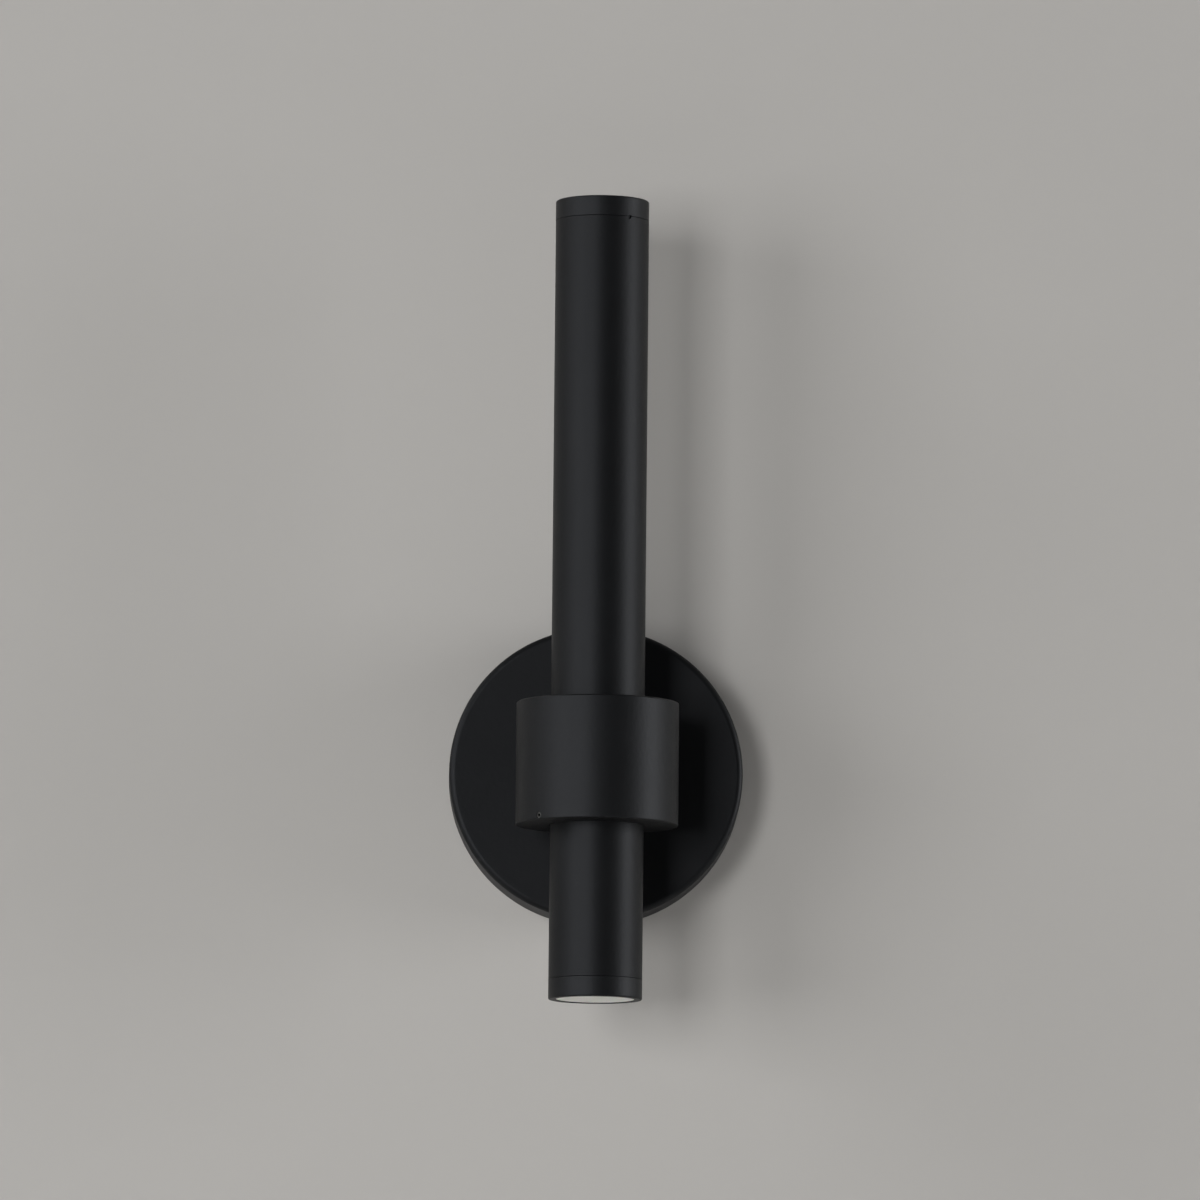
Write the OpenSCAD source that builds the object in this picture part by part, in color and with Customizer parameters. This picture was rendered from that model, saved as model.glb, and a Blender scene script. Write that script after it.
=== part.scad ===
// Outdoor wall sconce: one upright tube that shines up and down, held by a short
// thick collar close in front of a round canopy.
// The origin lies on the wall, between the two screws of the outlet box.
// +Y goes into the wall, -Y faces the room, +Z is up.

/* [Canopy] */
// Diameter of the round canopy
canopy_d = 120; // [119:1:160]
// Depth of the canopy from its rim to its face
canopy_depth = 26.5; // [25:0.5:45]
// Thickness of the canopy's side wall
canopy_wall = 4; // [3.6:0.1:4.4]
// Thickness of the canopy's face
canopy_face_t = 3; // [2.6:0.1:4]
// Radius of the edge between the canopy's face and its side
canopy_edge_r = 2.5; // [1:0.1:3]
// Radius of the canopy's rim at the wall
canopy_rim_r = 0.4; // [0.2:0.1:0.5]
// How far the wall gasket stands out of the rim
gasket_proud = 1; // [0.5:0.1:2]
// Depth of the groove that holds the wall gasket
gasket_groove = 2; // [1:0.1:3]
// Width of the wall gasket
gasket_w = 2; // [1.2:0.1:2.4]

/* [Collar] */
// Outer diameter of the collar
collar_d = 66; // [62:1:80]
// Height of the collar
collar_h = 50; // [48:1:80]
// Radius of the collar's outer edges
collar_edge_r = 0.6; // [0.3:0.1:1.5]
// Gap between the collar and the canopy's face
stem_gap = 2; // [1.6:0.1:10]
// Width of the flat boss on the collar's back
boss_w = 22; // [18:1:30]
// Height of the flat boss on the collar's back
boss_h = 40; // [38:1:44]
// Corner radius of the boss
boss_corner_r = 3; // [1:0.5:6]
// Thickness of the rubber sheet between boss and canopy
stem_gasket_t = 1; // [0.5:0.1:1.5]

/* [Tube] */
// Outer diameter of the tube and of both end rings
tube_d = 38; // [37:0.5:42]
// Wall of the tube between its end seats
tube_wall = 3; // [2.8:0.1:3.2]
// Step that carries each heat sink, cut into the tube's wall
seat_step = 0.7; // [0.5:0.1:0.8]
// Height of the upper end above the collar's centre
upper_reach = 230.5; // [222:0.5:400]
// Depth of the lower end below the collar's centre
lower_reach = 95.8; // [85:0.1:300]
// Radius of the edges beside each seam
seam_edge_r = 0.1; // [0.1:0.05:0.4]
// Diameter of the hole that lets the leads into the tube
wire_hole_d = 10; // [9:0.5:11]

/* [End rings] */
// Height of an end ring
bezel_h = 8.1; // [7.6:0.1:10]
// Wall of the ring's threaded skirt
bezel_skirt = 1; // [0.8:0.05:1.2]
// Thickness of the lip that holds the lens
bezel_lip = 0.8; // [0.5:0.1:1.2]
// Radius of the ring's outer end edge
bezel_edge_r = 0.6; // [0.3:0.1:0.8]
// Diameter of the opening that shows the lens
window_d = 32; // [26:0.5:33]
// Gap of the seam between ring and tube
seam_gap = 0.1; // [0.1:0.05:0.5]
// Width of the notch for a tool at the seam
notch_w = 2.3; // [1:0.1:3]
// Height of the notch's upper part, which is cut into the ring
notch_h = 0.4; // [0.3:0.1:1.2]
// Depth of the notch
notch_depth = 0.6; // [0.3:0.1:0.7]
// Turn of the upper ring's notch from the front towards +X
upper_notch_turn = 34; // [-180:1:180]
// Turn of the lower ring's notch from the front towards +X
lower_notch_turn = 150; // [-180:1:180]

/* [Lens and light engine] */
// Thickness of the frosted lens at its rim
lens_t = 3; // [2:0.1:3.5]
// How far the lens's raised middle lies below the ring's end face
lens_sunk = 0.25; // [0.1:0.05:0.4]
// Thickness of the gasket under the lens
lens_gasket_t = 1; // [0.5:0.1:1.4]
// Height of the reflector cup
cup_h = 18; // [12:0.5:24]
// Wall of the reflector cup
cup_wall = 1.2; // [0.8:0.1:1.6]
// Diameter of the reflector's small mouth
cup_mouth_d = 14; // [13:0.5:15]
// Height of the ring that clamps the board
holder_h = 4; // [3.4:0.1:6]
// Diameter of the window in the clamping ring
holder_window_d = 16; // [14:0.5:17]
// Diameter of the lamp board
board_d = 22; // [19:0.5:22.4]
// Thickness of the lamp board
board_t = 1.6; // [1:0.1:1.8]
// Diameter of the glowing disc on the board
emitter_d = 11; // [8:0.5:13]
// Thickness of the glowing disc
emitter_t = 0.6; // [0.3:0.1:1]
// Thickness of the thermal pad
pad_t = 0.5; // [0.2:0.1:0.8]
// Thickness of the heat sink's plate
sink_plate_t = 6; // [5:0.5:8]
// Length of the heat sink's fins
fin_length = 25; // [12:1:25]
// Thickness of a fin
fin_t = 1.6; // [1:0.1:1.8]
// Number of fins
fin_count = 10; // [6:2:10]
// Diameter of the heat sink's core
sink_core_d = 11; // [8:0.5:12]
// Distance of the ring's screws from the tube's axis
holder_screw_ring = 13.8; // [13.6:0.1:14]

/* [Driver] */
// Width of the driver's case
driver_w = 22; // [18:0.5:23]
// Depth of the driver's case
driver_d = 17; // [14:0.5:18]
// Length of the driver's case
driver_l = 96; // [70:1:98]
// Wall of the driver's case and cover
driver_wall = 1.2; // [1:0.1:1.6]
// Gap between the driver and the fins of the upper heat sink
driver_gap = 18; // [15:1:24]
// Thickness of each centring ring
ring_t = 5; // [3:0.5:10]
// Distance of a centring ring from the end of the case
ring_inset = 10; // [5:1:20]

/* [Crossbar] */
// Distance between the two screws of the outlet box
box_screw_spacing = 88.9; // [69.85, 88.9]
// Width of a box-screw slot
slot_w = 4.6; // [4.4:0.1:5.2]
// Length of a box-screw slot from end to end
slot_l = 12; // [8:0.5:12]
// Width of the crossbar
bar_w = 25; // [20:1:30]
// Thickness of the crossbar's sheet
bar_t = 2; // [1.5:0.1:2.2]
// Outer radius of the bend at each ear
bar_bend_r = 3.5; // [2.8:0.1:4]
// Width of the two bent ears
ear_w = 16; // [12:1:18]
// Distance of an ear's end from the wall
ear_reach = 20; // [18:0.5:20]
// Gap between an ear and the canopy's side wall
ear_gap = 1.6; // [1.4:0.1:1.8]
// Distance of the canopy's side screws from the wall
side_screw_y = 14; // [12:0.5:15]
// Diameter of the threaded hole in the bar's middle
bar_hole_d = 10.4; // [8:0.1:12]
// Height of the grounding screw above the bar's middle
ground_screw_z = 20; // [16:0.5:24]

/* [Nipple and fasteners] */
// Outer diameter of the hollow threaded nipple
nipple_d = 9.8; // [9:0.1:10]
// Bore of the nipple
nipple_bore_d = 7; // [6.6:0.1:7.4]
// Length of the nipple behind its nut
nipple_tail = 2.5; // [1:0.1:3]
// Width of the nipple's nut across its flats
nut_af = 14; // [13:0.5:15]
// Height of the nipple's nut
nut_h = 4; // [3:0.5:4.5]
// Thickness of the lock washer
washer_t = 1; // [0.6:0.1:1.4]
// Outer diameter of the lock washer
washer_d = 17; // [15:0.5:18]
// Flange diameter of the plastic bushing on the nipple
bushing_d = 12.4; // [11:0.1:14]
// Flange thickness of the bushing
bushing_flange = 1.5; // [1:0.1:2]
// How far the bushing reaches into the nipple
bushing_depth = 5; // [3:0.5:8]
// Wall of the bushing's sleeve
bushing_wall = 0.9; // [0.6:0.1:1]
// Drop of the steady screw below the nipple
steady_drop = 14; // [13.5:0.5:15.5]
// Length of the steady screw
steady_l = 12; // [9:0.5:13]
// Diameter of the steady, side and grounding screws
m4_d = 3.9; // [3.5:0.1:4]
// Head diameter of the steady and grounding screws
m4_head_d = 8; // [7:0.5:9]
// Head height of the steady and grounding screws
m4_head_h = 2.4; // [1.8:0.1:3]
// Length of a side screw
side_screw_l = 9; // [8:0.5:11]
// Diameter of the screws that lock the tube in the collar
lock_screw_d = 2.5; // [2:0.1:2.8]
// Height of a lock screw above the collar's nearest edge
lock_screw_inset = 1.7; // [1.6:0.1:6]
// How far a lock screw's end lies below the surface
screw_recess = 0.3; // [0.2:0.1:1.5]
// Turn of the seen lock screw from the front towards -X
lock_screw_turn = 46; // [0:1:60]
// Diameter of the clamping ring's screws
holder_screw_d = 2.4; // [2:0.1:2.6]
// Head diameter of the clamping ring's screws
holder_screw_head_d = 4; // [3.4:0.1:4.2]
// Head height of the clamping ring's screws
holder_screw_head_h = 1.2; // [0.8:0.1:1.6]
// Length of the clamping ring's screws below their heads
holder_screw_l = 8; // [6:0.5:8.5]

/* [Terminal block] */
// Distance between the poles
pole_pitch = 9; // [8.6:0.1:10]
// Length of the block beside its outer poles
block_margin = 5; // [4:0.5:6]
// Width of the block
block_w = 16; // [13:0.5:18]
// Height of the block above the canopy's inner face
block_h = 14; // [11:0.5:15]
// Distance of the block from the canopy's centre
block_x = 20; // [18:0.5:22]
// Diameter of the wire holes
pole_bore_d = 3.2; // [2.6:0.1:3.6]
// Diameter of the clamp screws
clamp_screw_d = 3.4; // [2.6:0.1:3.6]
// Depth of the wells of the clamp screws
clamp_well = 5; // [3:0.5:6]
// Head diameter of the block's fixing screw
fixing_head_d = 4.4; // [4:0.1:4.6]
// Diameter of the block's fixing screw
fixing_screw_d = 2.6; // [2:0.1:3]

/* [Leads] */
// Diameter of the sleeved input leads
input_lead_d = 4; // [3:0.1:4.2]
// Diameter of the sleeved lamp leads
lamp_lead_d = 2.4; // [1.8:0.1:2.6]
// Distance of the lamp leads from the tube's axis inside the fins
lamp_lead_x = 9; // [8.4:0.1:9.4]

/* [Clearances] */
// Radial clearance of a thread or of a close fit
fit_clear = 0.1; // [0.05:0.01:0.1]
// Clearance round loose pieces
loose_clear = 0.3; // [0.2:0.05:0.35]
// Clearance round a screw that passes through a hole
through_clear = 0.35; // [0.2:0.05:0.5]

/* [Hidden] */
$fn = 96;

// How far a cut runs past the face that it opens
past = 1;
// Sides of the smooth leads
lead_sides = 8;
// Steps between two points of a lead's route
lead_steps = 4;
// Socket of a grub screw: its share of the screw's diameter, and its depth
grub_socket_share = 0.55;
grub_socket_depth = 2.5;
// Cross recess of a pan head: its width and length are shares of the head's diameter,
// its depth is a share of the head's height
recess_w_share = 1 / 6;
recess_l_share = 3 / 5;
recess_depth_share = 1 / 2;
// Edges of a pan head, as shares of its height
head_top_share = 2 / 5;
head_foot_share = 1 / 10;

// Colours
coat_black = [0.10, 0.10, 0.105];
rubber_black = [0.16, 0.16, 0.16];
zinc = [0.72, 0.73, 0.74];
brass = [0.80, 0.66, 0.32];
dark_steel = [0.22, 0.22, 0.23];
green_zinc = [0.20, 0.50, 0.28];
raw_aluminium = [0.78, 0.79, 0.81];
frosted = [0.82, 0.82, 0.81];
bright_cup = [0.90, 0.91, 0.92];
nylon_white = [0.88, 0.87, 0.84];
board_green = [0.12, 0.38, 0.22];
board_white = [0.93, 0.93, 0.91];
phosphor = [0.95, 0.80, 0.25];
pad_grey = [0.55, 0.57, 0.60];
case_grey = [0.30, 0.31, 0.33];
lead_white = [0.85, 0.85, 0.83];
lead_red = [0.60, 0.14, 0.12];

// Canopy, measured from the wall
canopy_r = canopy_d / 2;
canopy_in_r = canopy_r - canopy_wall;
face_front = gasket_proud + canopy_depth;
face_back = face_front - canopy_face_t;
gasket_mid_r = canopy_r - canopy_wall / 2;
// Clearance on each side of the gasket in its groove
groove_clear = 0.2;

// Collar and tube, measured from the tube's axis
collar_r = collar_d / 2;
tube_r = tube_d / 2;
axis_y = -(face_front + stem_gap + collar_r);
boss_face = collar_r + stem_gap - stem_gasket_t;
collar_bore_r = tube_r + fit_clear;
// Radius of the edges at the collar's bore
bore_mouth_r = 0.5;
tube_in_r = tube_r - tube_wall;
seat_r = tube_in_r + seat_step;
wire_hole_r = wire_hole_d / 2;

// Ends of the tube, measured inwards from each ring's end face
skirt_in_r = tube_r - bezel_skirt;
spigot_r = skirt_in_r - fit_clear;
window_r = window_d / 2;
lens_r = skirt_in_r - loose_clear;
lens_outer = bezel_lip;
lens_inner = lens_outer + lens_t;
spigot_end = lens_inner + lens_gasket_t;
shoulder_at = bezel_h + seam_gap;
cup_top = spigot_end + loose_clear;
holder_top = cup_top + cup_h;
plate_top = holder_top + holder_h;
seat_at = plate_top + sink_plate_t;
board_r = board_d / 2;
stack_t = pad_t + board_t;
holder_r = seat_r - 2 * loose_clear;
// Height of the straight rim on the reflector's wide end
cup_rim_h = 1;

// Driver, measured from the tube's axis and the collar's centre, held below the upper fins
driver_top_z = upper_reach - seat_at - fin_length - driver_gap;
driver_z = driver_top_z - driver_l;
driver_in_w = driver_w - 2 * driver_wall;
// How far the lid reaches into the trough
lid_drop = 1;
// Thickness of the circuit board, and its gap to the trough's floor
pcb_t = 1.6;
pcb_gap = 2.5;

// Nipple, measured from the wall
nut_back = face_back - washer_t;
nut_front = nut_back - nut_h;
nipple_back = nut_front - nipple_tail;
nipple_r = nipple_d / 2;
// Gap between the nipple's end and the tube
nipple_gap = 1.5;
nipple_end = -axis_y - tube_r - nipple_gap;

// Crossbar, measured from its middle
ear_outer_z = canopy_in_r - ear_gap;
ear_inner_z = ear_outer_z - bar_t;
m4_r = m4_d / 2;

// Terminal block, whose wire holes lie nearer the wall than its middle
pole_shift = 3;
pole_z = face_back - block_h / 2 - pole_shift;
block_l = 2 * pole_pitch + 2 * block_margin;
// Metal left in the canopy's face in front of the block's fixing screw
face_skin = 1;

// Puts a shape drawn on the wall, with +Z towards the room, in its place
module on_wall() {
    rotate([90, 0, 0]) children();
}

// Puts a shape drawn round its own upright axis on the tube's axis
module on_axis() {
    translate([0, axis_y, 0]) children();
}

// Puts a shape drawn at an end face at z = 0 on the tube's upper or lower end
module at_end(upper) {
    if (upper) on_axis() translate([0, 0, upper_reach]) children();
    else on_axis() translate([0, 0, -lower_reach]) mirror([0, 0, 1]) children();
}

// Half outline of a turned blank with rounded lower and upper edges
module turned_blank(r, z0, z1, low, high) {
    translate([0, z0]) square([r - low, z1 - z0 - high]);
    translate([0, z0 + low]) square([r - high, z1 - z0 - low]);
    translate([0, z0 + low]) square([r, z1 - z0 - low - high]);
    translate([r - low, z0 + low]) circle(low);
    translate([r - high, z1 - high]) circle(high);
}

// Half outline of a bore whose two mouths are rounded
module bore_blank(r, z0, z1, mouth) {
    translate([0, z0 - past]) square([r, z1 - z0 + 2 * past]);
    difference() {
        union() {
            translate([0, z0 - past]) square([r + mouth, mouth + past]);
            translate([0, z1 - mouth]) square([r + mouth, mouth + past]);
        }
        translate([r + mouth, z0 + mouth]) circle(mouth);
        translate([r + mouth, z1 - mouth]) circle(mouth);
    }
}

// Plate outline with round corners
module round_rect(w, h, r) {
    square([w - 2 * r, h], center = true);
    square([w, h - 2 * r], center = true);
    for (x = [-1, 1], y = [-1, 1]) translate([x * (w / 2 - r), y * (h / 2 - r)]) circle(r);
}

// Slot outline that runs along Y
module slot_outline(w, l) {
    square([w, l - w], center = true);
    for (y = [-1, 1]) translate([0, y * (l - w) / 2]) circle(w / 2);
}

// Ring between two radii from z0 to z1
module plain_ring(r_in, r_out, z0, z1) {
    rotate_extrude() translate([r_in, z0]) square([r_out - r_in, z1 - z0]);
}

// Grub screw from z = 0 down to -l with a hexagon socket on top
module grub_screw(d, l) {
    socket_depth = min(grub_socket_depth, l / 2);
    difference() {
        translate([0, 0, -l]) cylinder(d = d, h = l);
        translate([0, 0, -socket_depth])
            cylinder(d = d * grub_socket_share, h = socket_depth + past, $fn = 6);
    }
}

// Pan-head screw whose head sits on z = 0, with a cross recess
module pan_screw(d, l, head_d, head_h) {
    recess_w = head_d * recess_w_share;
    recess_l = head_d * recess_l_share;
    recess_depth = head_h * recess_depth_share;
    difference() {
        union() {
            translate([0, 0, -l]) cylinder(d = d, h = l + head_h / 2);
            rotate_extrude()
                turned_blank(head_d / 2, 0, head_h, head_h * head_foot_share, head_h * head_top_share);
        }
        for (turn = [0, 90]) rotate(turn)
            translate([-recess_l / 2, -recess_w / 2, head_h - recess_depth])
                cube([recess_l, recess_w, recess_depth + past]);
    }
}

// Unit vector
function unit(v) = v / norm(v);

// Point between b and c of a smooth curve through a, b, c and d
function smooth_point(a, b, c, d, t) =
    0.5 * (2 * b + (c - a) * t + (2 * a - 5 * b + 4 * c - d) * t * t
        + (3 * b - a - 3 * c + d) * t * t * t);

// Route through all points, with steps between each two
function smooth_route(p, steps) = let (last = len(p) - 1) concat(
    [for (i = [0:last - 1], k = [0:steps - 1])
        smooth_point(p[max(i - 1, 0)], p[i], p[i + 1], p[min(i + 2, last)], k / steps)],
    [p[last]]);

// Direction of the route at point i
function heading(p, i) = unit(p[min(i + 1, len(p) - 1)] - p[max(i - 1, 0)]);

// Side vectors carried along the route without twist
function side_vectors(p, n, i = 0) = i == len(p) ? [] :
    let (h = heading(p, i), s = unit(n - (n * h) * h)) concat([s], side_vectors(p, s, i + 1));

// Tube of diameter d along the given points, straight at its first and last step
module lead(points, d, first_side) {
    last = len(points) - 1;
    inner = [for (i = [1:last - 1]) points[i]];
    route = concat([points[0]], smooth_route(inner, lead_steps), [points[last]]);
    sides = side_vectors(route, first_side);
    rings = len(route);
    n = lead_sides;
    corners = [for (i = [0:rings - 1], k = [0:n - 1])
        let (a = 360 * k / n, s = sides[i], c = cross(heading(route, i), s))
        route[i] + d / 2 * (cos(a) * s + sin(a) * c)];
    walls = [for (i = [0:rings - 2], k = [0:n - 1])
        [i * n + k, i * n + (k + 1) % n, (i + 1) * n + (k + 1) % n, (i + 1) * n + k]];
    first_cap = [for (k = [0:n - 1]) n - 1 - k];
    last_cap = [for (k = [0:n - 1]) (rings - 1) * n + k];
    faces = concat([first_cap, last_cap], walls);
    outward = [for (f = faces) [for (i = [len(f) - 1:-1:0]) f[i]]];
    polyhedron(points = corners, faces = outward, convexity = 4);
}

// Round cover on the wall, hollow behind, with a groove for its gasket
module canopy() {
    hole_r = nipple_r + through_clear;
    color(coat_black) on_wall() difference() {
        rotate_extrude() difference() {
            turned_blank(canopy_r, gasket_proud, face_front, canopy_rim_r, canopy_edge_r);
            translate([0, gasket_proud - past]) square([canopy_in_r, face_back - gasket_proud + past]);
            translate([gasket_mid_r - gasket_w / 2 - groove_clear, gasket_proud - past])
                square([gasket_w + 2 * groove_clear, gasket_groove + past]);
        }
        translate([0, 0, face_back - past]) cylinder(r = hole_r, h = canopy_face_t + 2 * past);
        translate([0, -steady_drop, face_back - past])
            cylinder(r = m4_r + through_clear, h = canopy_face_t + 2 * past);
        translate([block_x + block_w / 2, pole_pitch / 2, face_back - past])
            cylinder(d = fixing_screw_d + 2 * fit_clear, h = past + fixing_bite());
        for (turn = [0, 180]) rotate(turn) translate([0, canopy_in_r - past, side_screw_y])
            rotate([-90, 0, 0]) cylinder(r = m4_r + fit_clear, h = canopy_wall + 2 * past);
    }
}

// How deep the block's fixing screw bites into the canopy's face
function fixing_bite() = canopy_face_t - face_skin;

// Rubber ring in the groove of the canopy's rim
module wall_gasket() {
    in_r = gasket_mid_r - gasket_w / 2;
    color(rubber_black) on_wall() plain_ring(in_r, in_r + gasket_w, 0, gasket_proud + gasket_groove);
}

// Side outline of an ear: the bar's end, the bend and the upright
module ear_outline() {
    bend_at = ear_outer_z - bar_bend_r;
    start = bend_at - bar_bend_r;
    difference() {
        union() {
            translate([start, 0]) square([bar_bend_r, ear_reach]);
            translate([start, bar_bend_r]) square([ear_outer_z - start, ear_reach - bar_bend_r]);
            translate([bend_at, bar_bend_r]) circle(bar_bend_r);
        }
        translate([start - past, bar_t]) square([bar_bend_r + past, ear_reach]);
        translate([start - past, bar_bend_r]) square([ear_inner_z - start + past, ear_reach]);
        translate([bend_at, bar_bend_r]) circle(bar_bend_r - bar_t);
    }
}

// Steel bar on the outlet box, with an ear bent forward at each end
module crossbar() {
    corner_r = 2;
    color(zinc) on_wall() difference() {
        union() {
            linear_extrude(bar_t) round_rect(bar_w, 2 * (ear_outer_z - bar_bend_r), corner_r);
            for (turn = [0, 180]) rotate(turn) intersection() {
                rotate([90, 0, 90]) linear_extrude(ear_w, center = true) ear_outline();
                rotate([-90, 0, 0]) linear_extrude(ear_outer_z + past)
                    round_rect(ear_w, 2 * ear_reach, corner_r);
            }
        }
        for (y = [-1, 1]) translate([0, y * box_screw_spacing / 2, -past])
            linear_extrude(bar_t + 2 * past) slot_outline(slot_w, slot_l);
        translate([0, 0, -past]) cylinder(d = bar_hole_d, h = bar_t + 2 * past);
        translate([0, ground_screw_z, -past]) cylinder(r = m4_r + fit_clear, h = bar_t + 2 * past);
        for (turn = [0, 180]) rotate(turn) translate([0, ear_inner_z - past, side_screw_y])
            rotate([-90, 0, 0]) cylinder(r = m4_r + through_clear, h = bar_t + 2 * past);
    }
}

// Screw for the earth wire on the crossbar
module ground_screw() {
    color(green_zinc) on_wall() translate([0, ground_screw_z, bar_t])
        pan_screw(m4_d, bar_t - fit_clear, m4_head_d, m4_head_h);
}

// Two grub screws through the canopy's side into the crossbar's ears
module canopy_side_screws() {
    color(dark_steel) on_wall() for (turn = [0, 180]) rotate(turn)
        translate([0, canopy_r - screw_recess, side_screw_y]) rotate([-90, 0, 0])
            grub_screw(m4_d, side_screw_l);
}

// Rubber sheet between the collar's boss and the canopy
module stem_gasket() {
    cut = stem_gasket_t + 2 * past;
    color(rubber_black) on_wall() translate([0, 0, face_front]) difference() {
        linear_extrude(stem_gasket_t) round_rect(boss_w, boss_h, boss_corner_r);
        translate([0, 0, -past]) cylinder(r = nipple_r + through_clear, h = cut);
        translate([0, -steady_drop, -past]) cylinder(r = m4_r + through_clear, h = cut);
    }
}

// Hollow threaded tube that joins the collar to the canopy
module nipple() {
    color(zinc) on_wall() plain_ring(nipple_bore_d / 2, nipple_r, nipple_back, nipple_end);
}

// Toothed lock washer under the nut
module nipple_washer() {
    teeth = 10;
    tooth_w = 1.4;
    tooth_depth = 1.5;
    color(dark_steel) on_wall() translate([0, 0, nut_back]) difference() {
        plain_ring(nipple_r + fit_clear, washer_d / 2, 0, washer_t);
        for (i = [0:teeth - 1]) rotate(i * 360 / teeth)
            translate([washer_d / 2 - tooth_depth, -tooth_w / 2, -past])
                cube([tooth_depth + past, tooth_w, washer_t + 2 * past]);
    }
}

// Hexagon nut that pulls the nipple tight
module nipple_nut() {
    color(brass) on_wall() translate([0, 0, nut_front]) difference() {
        cylinder(r = nut_af / 2 / cos(30), h = nut_h, $fn = 6);
        translate([0, 0, -past]) cylinder(r = nipple_r + fit_clear, h = nut_h + 2 * past);
    }
}

// Plastic bushing that guards the leads at the nipple's open end
module nipple_bushing() {
    sleeve_r = nipple_bore_d / 2 - fit_clear;
    color(nylon_white) on_wall() rotate_extrude() {
        translate([sleeve_r - bushing_wall, nipple_back - bushing_flange])
            square([bushing_d / 2 - sleeve_r + bushing_wall, bushing_flange]);
        translate([sleeve_r - bushing_wall, nipple_back - bushing_flange])
            square([bushing_wall, bushing_flange + bushing_depth]);
    }
}

// Screw beside the nipple that keeps the collar from turning
module steady_screw() {
    color(zinc) on_wall() translate([0, -steady_drop, face_back])
        rotate([180, 0, 0]) pan_screw(m4_d, steady_l, m4_head_d, m4_head_h);
}

// Block on the canopy's inner face where the supply wires are clamped
module terminal_block() {
    corner_r = 1;
    color(nylon_white) on_wall() translate([block_x + block_w / 2, 0, face_back - block_h]) difference() {
        linear_extrude(block_h) round_rect(block_w, block_l, corner_r);
        for (i = [-1:1]) translate([0, i * pole_pitch, 0]) {
            translate([0, 0, -past]) cylinder(d = clamp_screw_d + 2 * loose_clear, h = clamp_well + past);
            translate([-block_w / 2 - past, 0, pole_z - face_back + block_h])
                rotate([0, 90, 0]) cylinder(d = pole_bore_d, h = block_w + 2 * past);
        }
        translate([0, pole_pitch / 2, -past])
            cylinder(d = fixing_screw_d + 2 * fit_clear, h = block_h + 2 * past);
    }
}

// Three clamp screws and the fixing screw of the terminal block
module terminal_screws() {
    fixing_head_h = 1.6;
    clamp_rise = 0.5;
    color(brass) on_wall() translate([block_x + block_w / 2, 0, face_back - block_h]) {
        for (i = [-1:1]) translate([0, i * pole_pitch, clamp_rise])
            rotate([180, 0, 0]) grub_screw(clamp_screw_d, clamp_well - clamp_rise);
        translate([0, pole_pitch / 2, 0]) rotate([180, 0, 0])
            pan_screw(fixing_screw_d, block_h + fixing_bite() - loose_clear, fixing_head_d, fixing_head_h);
    }
}

// Places a shape at a lock screw's seat, with +Z pointing out of the collar
module at_lock_screws() {
    lock_z = collar_h / 2 - lock_screw_inset;
    on_axis() {
        rotate(-90 - lock_screw_turn) translate([0, 0, -lock_z]) rotate([0, 90, 0]) children();
        rotate(90 - lock_screw_turn) translate([0, 0, lock_z]) rotate([0, 90, 0]) children();
    }
}

// Thick ring that holds the tube, with a flat boss towards the canopy
module collar() {
    steady_depth = steady_l - canopy_face_t - stem_gasket_t + past;
    color(coat_black) difference() {
        on_axis() difference() {
            union() {
                rotate_extrude()
                    turned_blank(collar_r, -collar_h / 2, collar_h / 2, collar_edge_r, collar_edge_r);
                rotate([-90, 0, 0]) linear_extrude(boss_face) round_rect(boss_w, boss_h, boss_corner_r);
            }
            rotate_extrude() bore_blank(collar_bore_r, -collar_h / 2, collar_h / 2, bore_mouth_r);
            rotate([-90, 0, 0]) cylinder(r = nipple_r + fit_clear, h = boss_face + past);
            translate([0, boss_face + past, -steady_drop]) rotate([90, 0, 0])
                cylinder(r = m4_r + fit_clear, h = steady_depth + past);
        }
        at_lock_screws() cylinder(d = lock_screw_d + fit_clear, h = collar_r + past);
    }
}

// Two grub screws that lock the tube in the collar
module tube_lock_screws() {
    color(dark_steel) at_lock_screws() translate([0, 0, collar_r - screw_recess])
        grub_screw(lock_screw_d, collar_r - screw_recess - tube_r - fit_clear);
}

// Body of the light: a tube with a threaded spigot at each end
module tube() {
    top = upper_reach;
    bottom = -lower_reach;
    color(coat_black) difference() {
        on_axis() difference() {
            rotate_extrude() difference() {
                union() {
                    turned_blank(tube_r, bottom + shoulder_at, top - shoulder_at, seam_edge_r, seam_edge_r);
                    turned_blank(spigot_r, bottom + spigot_end, top - spigot_end, seam_edge_r, seam_edge_r);
                }
                translate([0, bottom]) square([tube_in_r, top - bottom]);
                translate([0, bottom]) square([seat_r, seat_at]);
                translate([0, top - seat_at]) square([seat_r, seat_at]);
            }
            rotate([-90, 0, 0]) cylinder(r = wire_hole_r, h = tube_r + past);
        }
        at_end(true) at_notch(upper_notch_turn) shoulder_dimple();
        at_end(false) at_notch(lower_notch_turn) shoulder_dimple();
    }
}

// Half-round lower part of a notch, cut into the tube's shoulder
module shoulder_dimple() {
    translate([0, 0, -shoulder_at]) rotate([90, 0, 0])
        cylinder(r = notch_w / 2, h = 2 * notch_depth, center = true, $fn = 32);
}

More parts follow.
